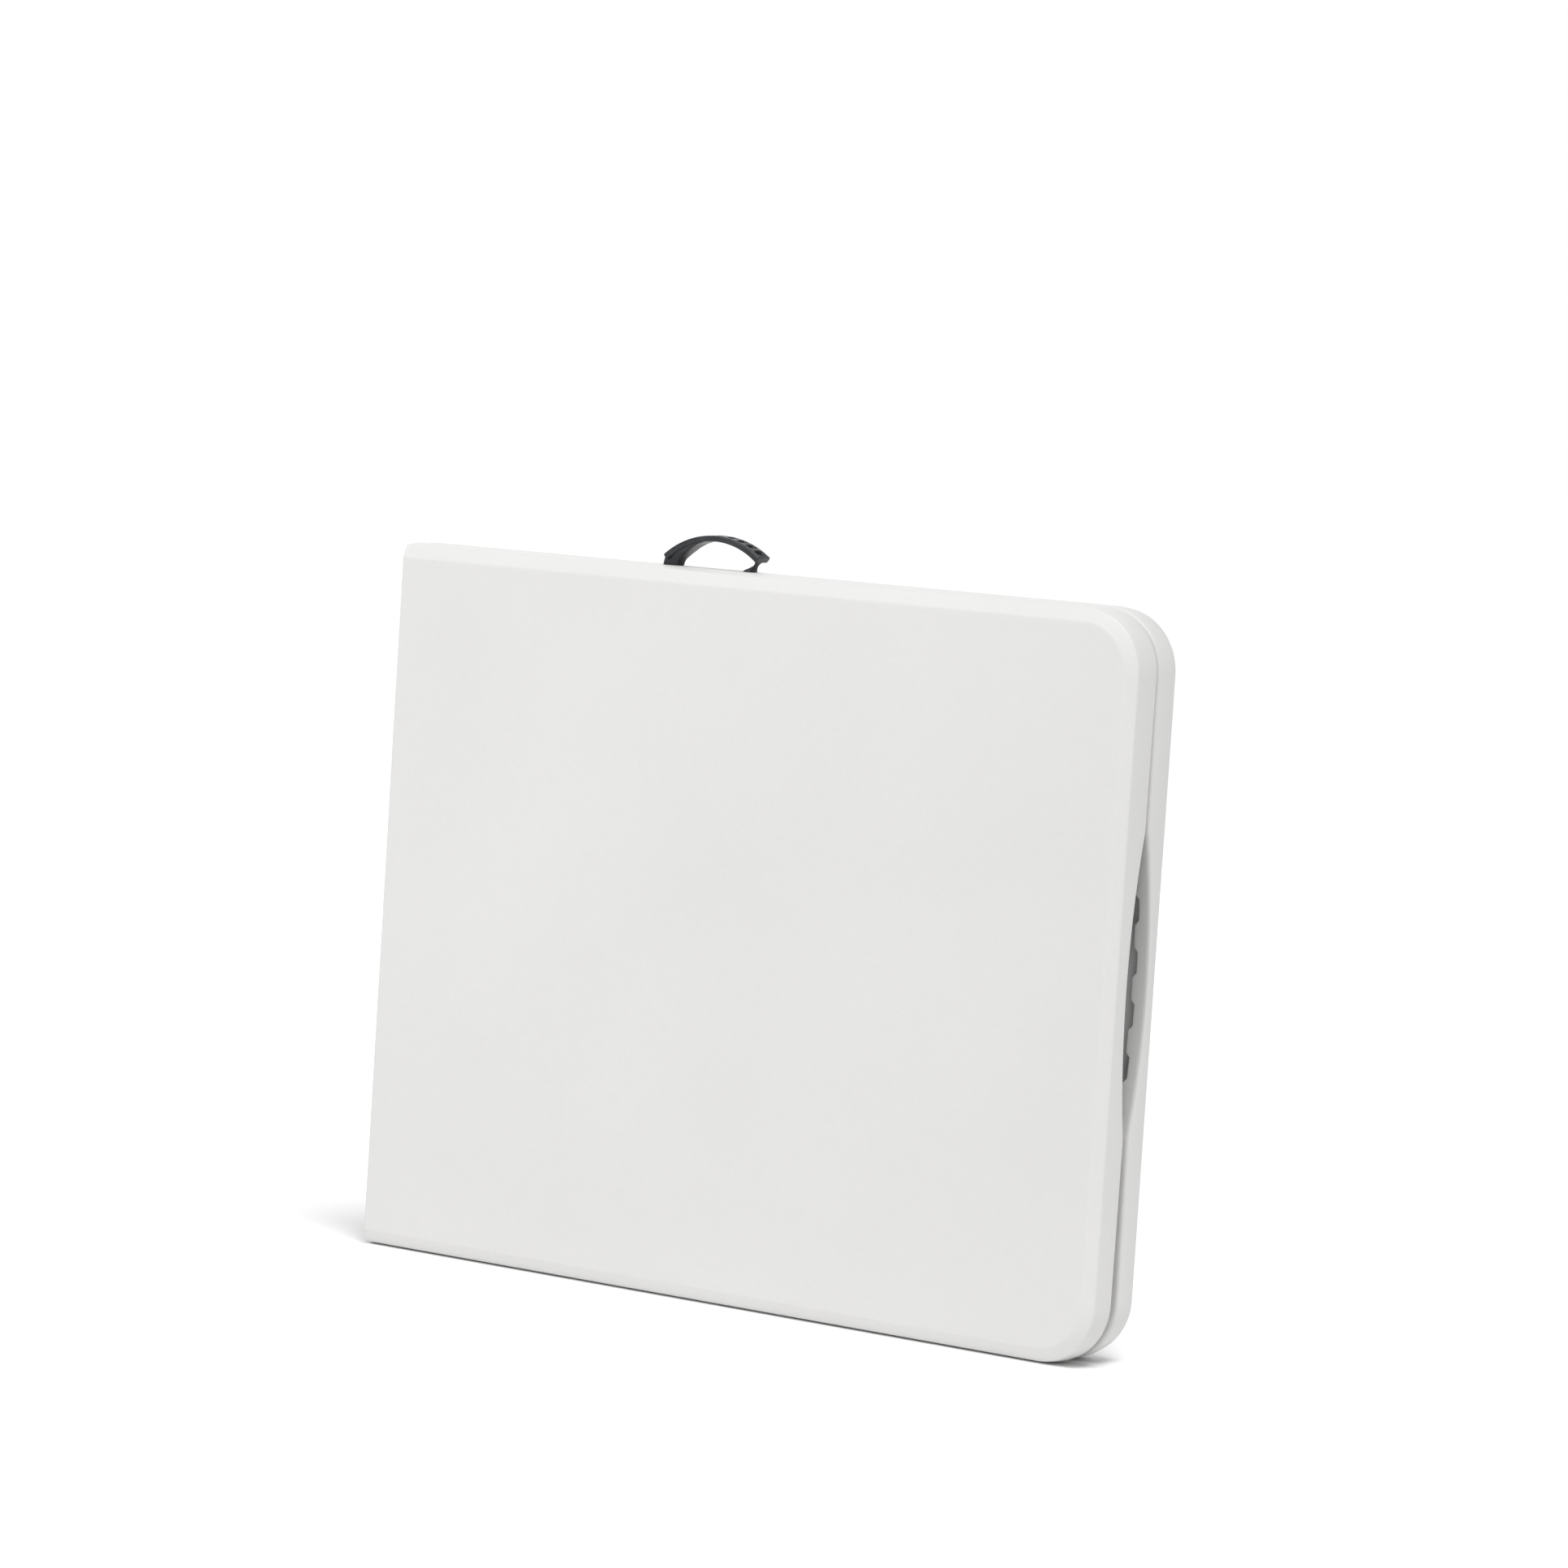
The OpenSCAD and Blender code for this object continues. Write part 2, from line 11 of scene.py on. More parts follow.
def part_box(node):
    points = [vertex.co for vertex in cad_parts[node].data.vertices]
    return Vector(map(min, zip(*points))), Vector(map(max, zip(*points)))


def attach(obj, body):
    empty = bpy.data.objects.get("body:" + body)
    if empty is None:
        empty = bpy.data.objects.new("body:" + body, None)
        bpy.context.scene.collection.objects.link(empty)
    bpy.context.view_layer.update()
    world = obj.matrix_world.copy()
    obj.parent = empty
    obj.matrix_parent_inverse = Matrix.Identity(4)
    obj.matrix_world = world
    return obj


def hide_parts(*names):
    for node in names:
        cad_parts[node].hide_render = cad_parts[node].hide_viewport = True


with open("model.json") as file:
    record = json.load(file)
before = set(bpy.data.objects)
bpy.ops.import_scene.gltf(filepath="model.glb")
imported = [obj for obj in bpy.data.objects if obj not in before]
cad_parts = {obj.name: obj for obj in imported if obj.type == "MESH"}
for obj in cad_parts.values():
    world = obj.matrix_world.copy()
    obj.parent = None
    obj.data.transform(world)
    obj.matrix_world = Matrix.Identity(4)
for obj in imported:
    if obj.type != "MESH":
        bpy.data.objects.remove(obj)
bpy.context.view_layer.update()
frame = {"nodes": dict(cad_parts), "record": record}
print("frame loaded")

mm = 0.001
panelPlan = {
    "hingeGap": 0.4,          # a half starts this far off the hinge line
    "cornerRadius": 65.0,
    "rimWidth": 14.0,
    "hingeInnerRadius": 12.0,
    "deckLevel": 27.0,
    "seamLevel": 0.5,
    "squeezeTop": 30.0,       # edits to the rim edge fade out by this level
    "reliefDepth": 6.0,       # the lower free corner stands open by this much
    "scallopDepth": 20.0,
    "scallopHalf": 170.0,
    "notchIn": 312.5,
    "notchOut": 347.5,
    "notchLevel": 18.0,
}
panelLow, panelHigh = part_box("rear_panel")
hingeX = panelLow[0] / mm - panelPlan["hingeGap"]
halfLength = panelHigh[0] / mm - hingeX
halfWidth = (panelHigh[2] - panelLow[2]) / mm / 2
midZ = (panelHigh[2] + panelLow[2]) / mm / 2


def toRow(points, side):
    # half-local millimetres (from hinge line, from seam plane, from mid width) to the row frame
    p = np.asarray(points, float)
    out = np.empty_like(p)
    out[:, 0] = (hingeX + p[:, 0]) * mm
    out[:, 1] = side * p[:, 1] * mm
    out[:, 2] = (midZ + p[:, 2]) * mm
    return out


def ease(x):
    x = min(max(x, 0.0), 1.0)
    return x * x * (3 - 2 * x)


def smoothShade(mesh, sharpAngle):
    mesh.polygons.foreach_set("use_smooth", [True] * len(mesh.polygons))
    mesh.set_sharp_from_angle(angle=math.radians(sharpAngle))


def freeze(obj):
    # what the modifiers make becomes the object's own mesh
    made = bpy.data.meshes.new_from_object(obj.evaluated_get(bpy.context.evaluated_depsgraph_get()))
    obj.modifiers.clear()
    obj.data = made
    return made


def makeObject(name, verts, faces, sharpAngle):
    mesh = bpy.data.meshes.new(name)
    bm = bmesh.new()
    made = [bm.verts.new(v) for v in verts]
    bm.verts.ensure_lookup_table()
    for face in faces:
        if len(set(face)) > 2:
            try:
                bm.faces.new([made[i] for i in face])
            except ValueError:
                pass
    loose = [v for v in bm.verts if not v.link_faces]
    bmesh.ops.delete(bm, geom=loose, context="VERTS")
    bmesh.ops.recalc_face_normals(bm, faces=bm.faces)
    bm.to_mesh(mesh)
    bm.free()
    smoothShade(mesh, sharpAngle)
    obj = bpy.data.objects.new(name, mesh)
    bpy.context.scene.collection.objects.link(obj)
    return obj


def newMaterial(name):
    mat = bpy.data.materials.new(name)
    mat.use_nodes = True
    tree = mat.node_tree
    shader = tree.nodes["Principled BSDF"]
    coord = tree.nodes.new("ShaderNodeTexCoord")
    return mat, tree, shader, coord


def noiseNode(tree, coord, scale, detail=4.0, rough=0.5):
    node = tree.nodes.new("ShaderNodeTexNoise")
    node.inputs["Scale"].default_value = scale
    node.inputs["Detail"].default_value = detail
    node.inputs["Roughness"].default_value = rough
    tree.links.new(coord.outputs["Object"], node.inputs["Vector"])
    return node


def rampNode(tree, source, stops):
    node = tree.nodes.new("ShaderNodeValToRGB")
    ramp = node.color_ramp
    while len(ramp.elements) < len(stops):
        ramp.elements.new(0.5)
    for element, (at, colour) in zip(ramp.elements, stops):
        element.position = at
        element.color = (*colour, 1) if len(colour) == 3 else colour
    tree.links.new(source, node.inputs["Fac"])
    return node


def bumpNode(tree, height, strength, distance, before=None):
    node = tree.nodes.new("ShaderNodeBump")
    node.inputs["Strength"].default_value = strength
    node.inputs["Distance"].default_value = distance
    tree.links.new(height, node.inputs["Height"])
    if before:
        tree.links.new(before.outputs["Normal"], node.inputs["Normal"])
    return node


whiteLook = {
    "base": (0.660, 0.657, 0.650), "shade": (0.642, 0.639, 0.632), "driftScale": 3.2,
    "fleck": (0.74, 0.735, 0.72), "fleckScale": 900.0, "fleckAmount": 0.10,
    "grainScale": 620.0, "grainBump": (0.22, 0.0004),
    "swellScale": 9.0, "swellBump": (0.10, 0.0025),
    "rough": (0.50, 0.58), "specular": 0.35, "softness": 0.05, "softReach": (0.006, 0.005, 0.004),
}
coatLook = {
    "dark": (0.20, 0.205, 0.215), "light": (0.25, 0.255, 0.265), "driftScale": 12.0,
    "peelScale": 700.0, "peelBump": (0.25, 0.0003), "rough": (0.36, 0.46), "metal": 0.15,
}
zincLook = {
    "dark": (0.52, 0.53, 0.55), "light": (0.66, 0.67, 0.68), "driftScale": 40.0,
    "scratchScale": 420.0, "scratchBump": (0.12, 0.0002), "rough": (0.26, 0.42),
}
plasticLook = {
    "dark": (0.012, 0.013, 0.016), "light": (0.022, 0.024, 0.029), "driftScale": 60.0,
    "grainScale": 900.0, "grainBump": (0.35, 0.0002), "rough": (0.30, 0.42),
}
rubberLook = {
    "dark": (0.012, 0.012, 0.012), "light": (0.026, 0.026, 0.026), "driftScale": 60.0,
    "grainScale": 500.0, "grainBump": (0.35, 0.0004), "rough": (0.68, 0.85),
}


def glossFrom(tree, shader, drift, rough):
    gloss = rampNode(tree, drift.outputs["Fac"], [(0.3, (rough[0],) * 3), (0.7, (rough[1],) * 3)])
    tree.links.new(gloss.outputs["Color"], shader.inputs["Roughness"])


def mouldedWhite():
    look = whiteLook
    mat, tree, shader, coord = newMaterial("mouldedWhitePlastic")
    drift = noiseNode(tree, coord, look["driftScale"], 3.0)
    base = rampNode(tree, drift.outputs["Fac"], [(0.35, look["shade"]), (0.65, look["base"])])
    speck = noiseNode(tree, coord, look["fleckScale"], 2.0)
    fleck = rampNode(tree, speck.outputs["Fac"], [(0.30, look["fleck"]), (0.42, (1, 1, 1))])
    mix = tree.nodes.new("ShaderNodeMix")
    mix.data_type = "RGBA"
    mix.blend_type = "MULTIPLY"
    mix.inputs["Factor"].default_value = look["fleckAmount"]
    tree.links.new(base.outputs["Color"], mix.inputs["A"])
    tree.links.new(fleck.outputs["Color"], mix.inputs["B"])
    tree.links.new(mix.outputs["Result"], shader.inputs["Base Color"])
    grain = tree.nodes.new("ShaderNodeTexVoronoi")
    grain.inputs["Scale"].default_value = look["grainScale"]
    tree.links.new(coord.outputs["Object"], grain.inputs["Vector"])
    fine = bumpNode(tree, grain.outputs["Distance"], *look["grainBump"])
    swell = noiseNode(tree, coord, look["swellScale"], 2.0)
    wavy = bumpNode(tree, swell.outputs["Fac"], *look["swellBump"], fine)
    tree.links.new(wavy.outputs["Normal"], shader.inputs["Normal"])
    glossFrom(tree, shader, drift, look["rough"])
    shader.inputs["Specular IOR Level"].default_value = look["specular"]
    shader.inputs["Subsurface Weight"].default_value = look["softness"]
    shader.inputs["Subsurface Radius"].default_value = look["softReach"]
    return mat


def satinBlack(name, look):
    mat, tree, shader, coord = newMaterial(name)
    drift = noiseNode(tree, coord, look["driftScale"], 4.0)
    tone = rampNode(tree, drift.outputs["Fac"], [(0.35, look["dark"]), (0.7, look["light"])])
    tree.links.new(tone.outputs["Color"], shader.inputs["Base Color"])
    glossFrom(tree, shader, drift, look["rough"])
    grain = noiseNode(tree, coord, look["grainScale"], 3.0)
    bump = bumpNode(tree, grain.outputs["Fac"], *look["grainBump"])
    tree.links.new(bump.outputs["Normal"], shader.inputs["Normal"])
    return mat


def coatedSteel():
    look = coatLook
    mat, tree, shader, coord = newMaterial("greyPowderCoat")
    drift = noiseNode(tree, coord, look["driftScale"], 4.0)
    tone = rampNode(tree, drift.outputs["Fac"], [(0.3, look["dark"]), (0.7, look["light"])])
    tree.links.new(tone.outputs["Color"], shader.inputs["Base Color"])
    peel = noiseNode(tree, coord, look["peelScale"], 2.0)
    bump = bumpNode(tree, peel.outputs["Fac"], *look["peelBump"])
    tree.links.new(bump.outputs["Normal"], shader.inputs["Normal"])
    glossFrom(tree, shader, drift, look["rough"])
    shader.inputs["Metallic"].default_value = look["metal"]
    return mat


def zincSteel():
    look = zincLook
    mat, tree, shader, coord = newMaterial("zincPlatedSteel")
    drift = noiseNode(tree, coord, look["driftScale"], 5.0, 0.6)
    tone = rampNode(tree, drift.outputs["Fac"], [(0.3, look["dark"]), (0.7, look["light"])])
    tree.links.new(tone.outputs["Color"], shader.inputs["Base Color"])
    glossFrom(tree, shader, drift, look["rough"])
    scratch = noiseNode(tree, coord, look["scratchScale"], 3.0)
    bump = bumpNode(tree, scratch.outputs["Fac"], *look["scratchBump"])
    tree.links.new(bump.outputs["Normal"], shader.inputs["Normal"])
    shader.inputs["Metallic"].default_value = 1.0
    return mat


finishes = {
    "white_plastic": mouldedWhite(),
    "coated_steel": coatedSteel(),
    "zinc_steel": zincSteel(),
    "black_plastic": satinBlack("satinBlackPlastic", plasticLook),
    "rubber": satinBlack("mattBlackRubber", rubberLook),
}
print("materials made")


def finishPiece(obj, body, slotName, *nodes):
    obj.data.materials.clear()
    obj.data.materials.append(finishes[slotName])
    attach(obj, body)
    if nodes:
        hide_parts(*nodes)


# (inset on the long and free sides, level, inset on the hinge side), face centre to rim
skirtLoops = [
    (26.0, 43.0, 8.0), (17.5, 43.0, 3.0), (16.2, 42.97, 1.9), (15.2, 42.82, 1.2), (14.3, 42.5, 0.8),
    (13.2, 42.05, 0.5), (8.2, 39.8, 0.4), (3.9, 37.8, 0.4), (2.95, 37.2, 0.4), (2.3, 36.45, 0.4),
    (1.95, 35.4, 0.4), (0.95, 27.5, 0.4), (0.1, 20.0, 0.4), (0.0, 13.0, 0.4), (0.0, 7.0, 0.4),
    (0.15, 5.0, 0.4), (0.55, 3.4, 0.45), (1.3, 2.1, 0.7), (2.4, 1.15, 1.2), (3.8, 0.62, 1.8), (5.2, 0.5, 2.6),
]
# (offset outwards from the inner wall, level), rim to deck
wallLoops = [
    (2.0, 0.5), (0.9, 0.75), (0.2, 1.5), (0.0, 2.6), (0.0, 14.0), (-0.3, 25.0), (-1.0, 26.3), (-2.6, 27.0),
]
panelSharp = 34.0             # degrees between faces that show as an edge
buttress = {"pitch": 53.0, "length": 27.0, "depth": 4.5, "ramp": 5.0, "keepClear": (285.0, 450.0)}
dimple = {
    "pitchU": 30.0, "pitchZ": 26.5, "mouth": 8.5, "depth": 9.5, "points": 14,
    "profile": [(0.93, 0.08), (0.80, 0.35), (0.62, 0.80), (0.50, 0.96), (0.30, 1.0)],   # shares of mouth, depth
    "edge": 13.0, "first": 20.0, "endClear": 22.0, "sideClear": 6.0, "cornerReach": 30.0,
    "railAt": 330.0, "railClear": 20.0,
    "bracketAt": 312.0, "bracketClear": 16.0, "bracketFrom": 835.0,
    "anchorAt": 104.0, "anchorClear": 18.0, "anchorTo": 84.0,
}


def buttressAt(t):
    # 0 in a notch, 1 on a buttress, with chamfered shoulders
    away = abs((t + buttress["pitch"] / 2) % buttress["pitch"] - buttress["pitch"] / 2)
    return min(max((buttress["length"] / 2 + buttress["ramp"] / 2 - away) / buttress["ramp"], 0.0), 1.0)


def sideStops(low, high, step, breaks):
    stops = set(np.round(np.linspace(low, high, max(int((high - low) / step), 2) + 1)[1:-1], 3))
    half, ramp = buttress["length"] / 2, buttress["ramp"] / 2
    for k in range(int(low / buttress["pitch"]) - 1, int(high / buttress["pitch"]) + 2):
        for edge in (-half - ramp, -half + ramp, half - ramp, half + ramp):
            breaks = breaks + [k * buttress["pitch"] + edge]
    chosen = sorted(b for b in breaks if low + 0.8 < b < high - 0.8)
    stops = [s for s in stops if all(abs(s - b) > 1.6 for b in chosen)]
    return [low] + sorted(stops + chosen) + [high]


def outlineSamples():
    plan = panelPlan
    innerLow = plan["hingeGap"] + plan["rimWidth"]
    bend = innerLow + plan["hingeInnerRadius"]
    arcU = halfLength - plan["cornerRadius"]
    arcZ = halfWidth - plan["cornerRadius"]
    bendZ = halfWidth - plan["rimWidth"] - plan["hingeInnerRadius"]
    long = sideStops(bend, arcU, 6.0, [])
    end = sideStops(-arcZ, arcZ, 5.0, [])
    edges = [e + d for e in (plan["notchIn"], plan["notchOut"]) for d in (-0.4, 0.4)]
    hinge = sideStops(-bendZ, bendZ, 7.0, edges + [-e for e in edges])
    samples = [("long", u, -1) for u in long]
    samples += [("arc", a, -1) for a in np.linspace(-90, 0, 27)[1:-1]]
    samples += [("end", z, 0) for z in end]
    samples += [("arc", a, 1) for a in np.linspace(0, 90, 27)[1:-1]]
    samples += [("long", u, 1) for u in reversed(long)]
    samples += [("bend", t, 1) for t in np.linspace(0, 1, 13)[1:-1]]
    samples += [("hinge", z, 0) for z in reversed(hinge)]
    samples += [("bend", 1 - t, -1) for t in np.linspace(0, 1, 13)[1:-1]]
    return samples, innerLow, bend, arcU, arcZ, bendZ


def outerPoint(sample, inset, hingeInset):
    kind, at, sign = sample
    if kind == "long":
        return at, sign * (halfWidth - inset)
    if kind == "end":
        return halfLength - inset, at
    if kind == "hinge":
        return hingeInset, at
    if kind == "arc":
        r = panelPlan["cornerRadius"] - inset
        a = math.radians(at)
        return (halfLength - panelPlan["cornerRadius"] + r * math.cos(a),
                sign * (halfWidth - panelPlan["cornerRadius"]) + r * math.sin(a))
    edge = halfWidth - inset
    if at <= 0.5:
        return bendU + (hingeInset - bendU) * 2 * at, sign * edge
    return hingeInset, sign * (edge + (bendZ - edge) * (2 * at - 1))


def innerPoint(sample):
    kind, at, sign = sample
    rim = panelPlan["rimWidth"]
    if kind == "long":
        return at, sign * (halfWidth - rim), 0.0, sign
    if kind == "end":
        return halfLength - rim, at, 1.0, 0.0
    if kind == "hinge":
        return innerLowU, at, -1.0, 0.0
    if kind == "arc":
        r = panelPlan["cornerRadius"] - rim
        a = math.radians(at)
        return (halfLength - panelPlan["cornerRadius"] + r * math.cos(a),
                sign * (halfWidth - panelPlan["cornerRadius"]) + r * math.sin(a), math.cos(a), math.sin(a))
    a = math.radians(90 * at)
    r = panelPlan["hingeInnerRadius"]
    return bendU - r * math.sin(a), sign * (bendZ + r * math.cos(a)), -math.sin(a), sign * math.cos(a)


samples, innerLowU, bendU, arcU, arcZ, bendZ = outlineSamples()


def rimRaise(sample, u, z):
    # how far the rim's edge is lifted off the seam plane here
    plan = panelPlan
    slope = math.hypot(halfLength, 2 * halfWidth)
    along = (u * 2 * halfWidth - (z + halfWidth) * halfLength) / slope
    reach = halfLength * 2 * halfWidth / slope
    lift = plan["reliefDepth"] * max(along / reach, 0.0)
    if sample[0] == "end":
        deep, wide = plan["scallopDepth"], plan["scallopHalf"]
        radius = (wide ** 2 + deep ** 2) / (2 * deep)
        lift = max(lift, deep - radius + math.sqrt(radius ** 2 - z ** 2) - plan["seamLevel"])
    if sample[0] == "hinge" and plan["notchIn"] <= abs(z) <= plan["notchOut"]:
        lift = plan["notchLevel"] - plan["seamLevel"]
    return lift


def squeezed(level, lift):
    span = panelPlan["squeezeTop"] - panelPlan["seamLevel"]
    if level >= panelPlan["squeezeTop"]:
        return level
    return level + lift * (1 - (level - panelPlan["seamLevel"]) / span)


def wallOffset(sample, hasHandle):
    kind, at, sign = sample
    low, high = buttress["keepClear"]
    if kind == "end":
        return -buttress["depth"] * buttressAt(at)
    if kind == "long" and at > 60 and not (hasHandle and sign > 0 and low < at < high):
        return -buttress["depth"] * buttressAt(at)
    return 0.0


def dimplePlaces(outline):
    u0, u1 = innerLowU, halfLength - panelPlan["rimWidth"]
    z1 = halfWidth - panelPlan["rimWidth"]
    places = []
    columns = int((u1 - u0) / dimple["pitchU"])
    rows = int(z1 / dimple["pitchZ"]) + 1
    hull = np.array(outline)
    for i in range(columns + 1):
        for j in range(-rows, rows + 1):
            u = u0 + dimple["first"] + i * dimple["pitchU"]
            z = (j + 0.5 * (i % 2)) * dimple["pitchZ"]
            if u > u1 - dimple["endClear"] or abs(z) > z1 - dimple["sideClear"]:
                continue
            if np.min(np.hypot(hull[:, 0] - u, hull[:, 1] - z)) < dimple["edge"]:
                continue
            if u > arcU and abs(z) > arcZ and math.hypot(u - arcU, abs(z) - arcZ) > dimple["cornerReach"]:
                continue
            if abs(abs(z) - dimple["railAt"]) < dimple["railClear"]:
                continue
            if abs(abs(z) - dimple["bracketAt"]) < dimple["bracketClear"] and u > dimple["bracketFrom"]:
                continue
            if abs(abs(z) - dimple["anchorAt"]) < dimple["anchorClear"] and u < dimple["anchorTo"]:
                continue
            places.append((u, z))
    return places


def insideLoop(loop, spot):
    # counts the loop's sides that a line from the spot crosses
    ahead = np.roll(loop, -1, axis=0)
    crosses = (loop[:, 1] > spot[1]) != (ahead[:, 1] > spot[1])
    rise = np.where(crosses, ahead[:, 1] - loop[:, 1], 1.0)
    at = loop[:, 0] + (spot[1] - loop[:, 1]) * (ahead[:, 0] - loop[:, 0]) / rise
    return np.count_nonzero(crosses & (spot[0] < at)) % 2 == 1


def buildHalf(name, side, hasHandle):
    verts, faces, loops = [], [], []
    for inset, level, hingeInset in skirtLoops:
        loop = []
        for s in samples:
            u, z = outerPoint(s, inset, hingeInset)
            loop.append(len(verts))
            verts.append((u, squeezed(level, rimRaise(s, u, z)), z))
        loops.append(loop)
    for offset, level in wallLoops:
        loop = []
        for s in samples:
            u, z, du, dz = innerPoint(s)
            push = offset + wallOffset(s, hasHandle)
            u, z = u + du * push, z + dz * push
            loop.append(len(verts))
            lift = rimRaise(s, u, z) if level < panelPlan["deckLevel"] - 0.1 else 0.0
            span = panelPlan["deckLevel"] - panelPlan["seamLevel"]
            verts.append((u, level + lift * (1 - (level - panelPlan["seamLevel"]) / span), z))
        loops.append(loop)
    count = len(samples)
    for a, b in zip(loops, loops[1:]):
        for i in range(count):
            j = (i + 1) % count
            faces.append((a[i], a[j], b[j], b[i]))
    faces.append(tuple(reversed(loops[0])))
    # the deck: a flat sheet with tack-off dimples cut in
    deckLoop = loops[-1]
    outline = [(verts[i][0], verts[i][2]) for i in deckLoop]
    places = dimplePlaces(outline)
    n = dimple["points"]
    flat = [Vector(p) for p in outline]
    edges = [(i, (i + 1) % count) for i in range(count)]
    ids = list(deckLoop)
    rings = []
    for u, z in places:
        first = len(flat)
        ring = []
        for k in range(n):
            a = 2 * math.pi * k / n
            flat.append(Vector((u + dimple["mouth"] * math.cos(a), z + dimple["mouth"] * math.sin(a))))
            ids.append(len(verts))
            ring.append(len(verts))
            verts.append((flat[-1][0], panelPlan["deckLevel"], flat[-1][1]))
            edges.append((first + k, first + (k + 1) % n))
        rings.append(ring)
    _, _, tris, origin, _, _ = delaunay_2d_cdt(flat, edges, [], 1, 1e-4, True)
    for tri in tris:
        corners = [origin[i][0] for i in tri]
        mouths = {(c - count) // n for c in corners}
        if len(mouths) == 1 and min(mouths) >= 0:            # it would cover its own dimple
            continue
        middle = sum((flat[c] for c in corners), Vector((0, 0))) / 3
        if max(corners) < count and not insideLoop(np.array(outline), middle):
            continue                                         # it would bridge a bay of the rim wall
        faces.append([ids[c] for c in corners])
    for (u, z), ring in zip(places, rings):
        before = ring
        for wide, deep in dimple["profile"]:
            after = []
            for k in range(n):
                a = 2 * math.pi * k / n
                after.append(len(verts))
                verts.append((u + dimple["mouth"] * wide * math.cos(a),
                              panelPlan["deckLevel"] + dimple["depth"] * deep,
                              z + dimple["mouth"] * wide * math.sin(a)))
            for k in range(n):
                faces.append((before[k], before[(k + 1) % n], after[(k + 1) % n], after[k]))
            before = after
        faces.append(tuple(before))
    obj = makeObject(name, toRow(verts, side), faces, panelSharp)
    print(name, len(places), "dimples,", len(obj.data.polygons), "faces")
    return obj


rearTop = buildHalf("rearTopHalf", 1, True)
finishPiece(rearTop, "rear_half", "white_plastic", "rear_panel")
frontTop = buildHalf("frontTopHalf", -1, False)
finishPiece(frontTop, "front_half", "white_plastic", "front_panel")
print("top halves built")


handleLook = {
    "centreU": 369.0, "centreV": 12.0, "width": 22.0, "rise": 35.0,
    "radius": 97.3, "from": -41.0, "to": 36.2, "shift": 3.0,
    "thin": 6.4, "thick": 7.6, "thickPower": 2.2, "edgeRound": 1.5, "crown": 0.5,
    "stationStep": 0.8, "rowsAcross": 20, "pinch": 0.5, "pinchOver": 0.9, "sharp": 40.0,
    "pocketPitch": 12.6, "pocketFirst": -47.25, "pockets": 9, "pocketEndClear": 3.0,
    "pocketHalfAlong": 4.6, "pocketHalfAcross": 6.8, "pocketDepth": 4.2,
    "grooveDepth": 1.1, "grooveReach": 34.0, "grooveInset": 1.2,
    # feet from the rim up: (from, to, half depth, height)
    "longFoot": [
        (-62.6, -45.4, 6.7, 0.05), (-63.0, -44.6, 7.0, 0.5), (-62.6, -44.2, 7.0, 3.0),
        (-61.6, -42.4, 7.2, 6.7), (-59.6, -39.6, 8.0, 9.6), (-57.0, -35.9, 9.0, 13.1),
        (-51.0, -31.3, 9.4, 16.7), (-44.0, -26.7, 9.6, 20.2), (-36.0, -22.2, 9.8, 22.8),
        (-29.0, -17.6, 9.8, 25.1), (-23.0, -12.5, 9.8, 26.9), (-17.0, -8.4, 9.8, 28.4),
    ],
    "neckFoot": [
        (38.2, 47.4, 6.7, 0.05), (38.0, 48.0, 7.0, 0.5), (40.2, 48.0, 6.8, 2.0), (43.6, 48.6, 6.0, 3.6),
        (46.6, 50.0, 4.8, 5.4), (48.8, 51.6, 3.6, 7.2), (50.0, 53.8, 3.6, 9.2), (50.8, 56.4, 4.8, 11.4),
        (51.2, 58.2, 6.4, 13.4), (51.2, 57.8, 6.8, 15.0),
    ],
    # what hangs through the rim under each foot: (half length, half depth, height)
    "strapAt": (-55.0, 43.0),
    "strap": [(3.5, 5.0, 0.6), (3.5, 5.0, -25.0)],
    "strapHead": [(8.0, 5.5, -23.5), (8.5, 6.0, -24.0), (8.5, 6.0, -28.0), (8.0, 5.5, -28.5)],
}


def roundedSection(halfAlong, halfAcross, radius, steps=4):
    points = []
    for cx, cy, start in ((1, 1, 0), (-1, 1, 90), (-1, -1, 180), (1, -1, 270)):
        for k in range(steps + 1):
            a = math.radians(start + 90 * k / steps)
            points.append((cx * (halfAlong - radius) + radius * math.cos(a),
                           cy * (halfAcross - radius) + radius * math.sin(a)))
    return points


def loft(rings, faces, verts, closeEnds=True):
    loops = []
    for ring in rings:
        loops.append(list(range(len(verts), len(verts) + len(ring))))
        verts.extend(ring)
    n = len(loops[0])
    for a, b in zip(loops, loops[1:]):
        for i in range(n):
            faces.append((a[i], a[(i + 1) % n], b[(i + 1) % n], b[i]))
    if closeEnds:
        faces.append(tuple(loops[0]))
        faces.append(tuple(loops[-1]))


def pocketMask(along, across):
    best = 0.0
    for k in range(handleLook["pockets"]):
        centre = handleLook["pocketFirst"] + k * handleLook["pocketPitch"]
        x = abs(along - centre) / handleLook["pocketHalfAlong"]
        y = abs(across) / handleLook["pocketHalfAcross"]
        if x < 1 and y < 1:
            best = max(best, ease((1 - x ** 3 - y ** 3) / 0.35))
    return best


